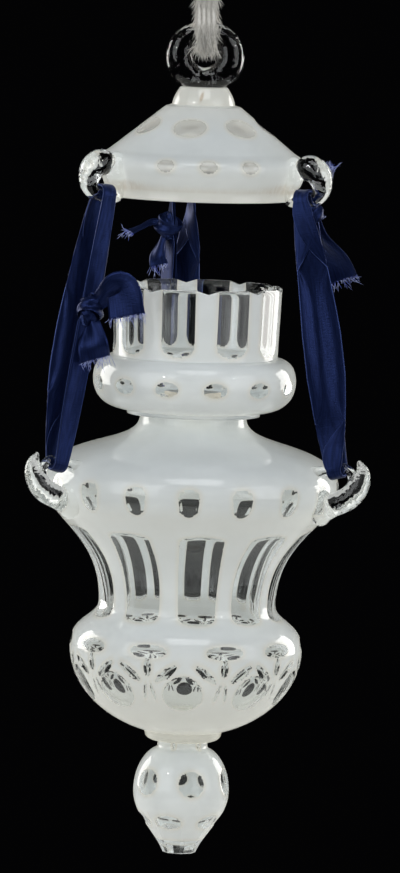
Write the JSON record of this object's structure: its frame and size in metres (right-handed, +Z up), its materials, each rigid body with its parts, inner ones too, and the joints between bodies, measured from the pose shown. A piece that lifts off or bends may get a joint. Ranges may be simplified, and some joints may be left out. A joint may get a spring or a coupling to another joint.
{
  "type": "hanging glass night lamp",
  "caption": "Hanging lamp of white-cased clear glass: a bell canopy, ribbon loops, a vase-shaped bowl with a lift-out scalloped cup, and a hollow drop below.",
  "frame": {"origin": "top of the string loop that the lamp hangs by, on the lamp's upright axis", "axes": "+Z up along the lamp's axis, +X to the right and +Y away from the viewer in the picture's view"},
  "size_m": [0.185, 0.1859, 0.5028],
  "materials": {
    "cased_glass": "white glass cased over clear, polished, cut through in windows",
    "clear_glass": "clear fire-polished glass, slightly grey",
    "navy_satin": "navy blue satin ribbon, frayed at its ends",
    "cotton_string": "white cotton string, a little grey",
    "cork": "natural cork",
    "tin_plate": "thin tinned sheet, dull",
    "waxed_wick": "waxed cotton wick"
  },
  "bodies": {
    "string": {"hanging_cord": "cotton_string", "cord_tie": "cotton_string"},
    "bell": {"hanging_ring": "clear_glass", "ring_knop": "cased_glass", "canopy": "cased_glass", "canopy_hook_left": "clear_glass", "canopy_hook_right": "clear_glass", "canopy_hook_back": "clear_glass"},
    "back_ribbon": {"ribbon_back": "navy_satin"},
    "left_ribbon": {"ribbon_left": "navy_satin"},
    "right_ribbon": {"ribbon_right": "navy_satin"},
    "vase": {"bowl": "cased_glass", "bowl_hook_left": "clear_glass", "bowl_hook_right": "clear_glass", "bowl_hook_back": "clear_glass", "foot_merese": "cased_glass", "drop_finial": "cased_glass"},
    "cup": {"crown_cup": "cased_glass"},
    "night_light": {"cork_float": "cork", "float_plate": "tin_plate", "wick": "waxed_wick"}
  },
  "joints": [
    {"name": "lamp_swing", "type": "hinge", "parent": "string", "child": "bell", "pos_m": [0, 0, -0.0688], "axis": [0, 1, 0], "range_deg": [-10, 10]},
    {"name": "bowl_sway", "type": "hinge", "parent": "bell", "child": "back_ribbon", "pos_m": [-0.00545, 0.06226, -0.14425], "axis": [0, 1, 0], "range_deg": [-4, 4]},
    {"name": "left_ribbon_sway", "type": "hinge", "parent": "bell", "child": "left_ribbon", "pos_m": [-0.05413, -0.03125, -0.14425], "axis": [0, 1, 0], "range_deg": [-4.2, 4.2]},
    {"name": "right_ribbon_sway", "type": "hinge", "parent": "bell", "child": "right_ribbon", "pos_m": [0.05413, -0.03125, -0.14425], "axis": [0, 1, 0], "range_deg": [-4.2, 4.2]},
    {"name": "bowl_tilt", "type": "hinge", "parent": "back_ribbon", "child": "vase", "pos_m": [-0.00758, 0.08667, -0.28725], "axis": [0, 1, 0], "range_deg": [-3.2, 3.2]},
    {"name": "insert_lift", "type": "slide", "parent": "vase", "child": "cup", "axis": [0, 0, 1], "range_m": [0, 0.03]},
    {"name": "float_lift", "type": "slide", "parent": "cup", "child": "night_light", "axis": [0, 0, 1], "range_m": [0, 0.075]}
  ],
  "couplings": [
    {"joint": "left_ribbon_sway", "follows": "bowl_sway", "ratio": 1},
    {"joint": "right_ribbon_sway", "follows": "bowl_sway", "ratio": 1},
    {"joint": "bowl_tilt", "follows": "bowl_sway", "ratio": -0.7184}
  ]
}
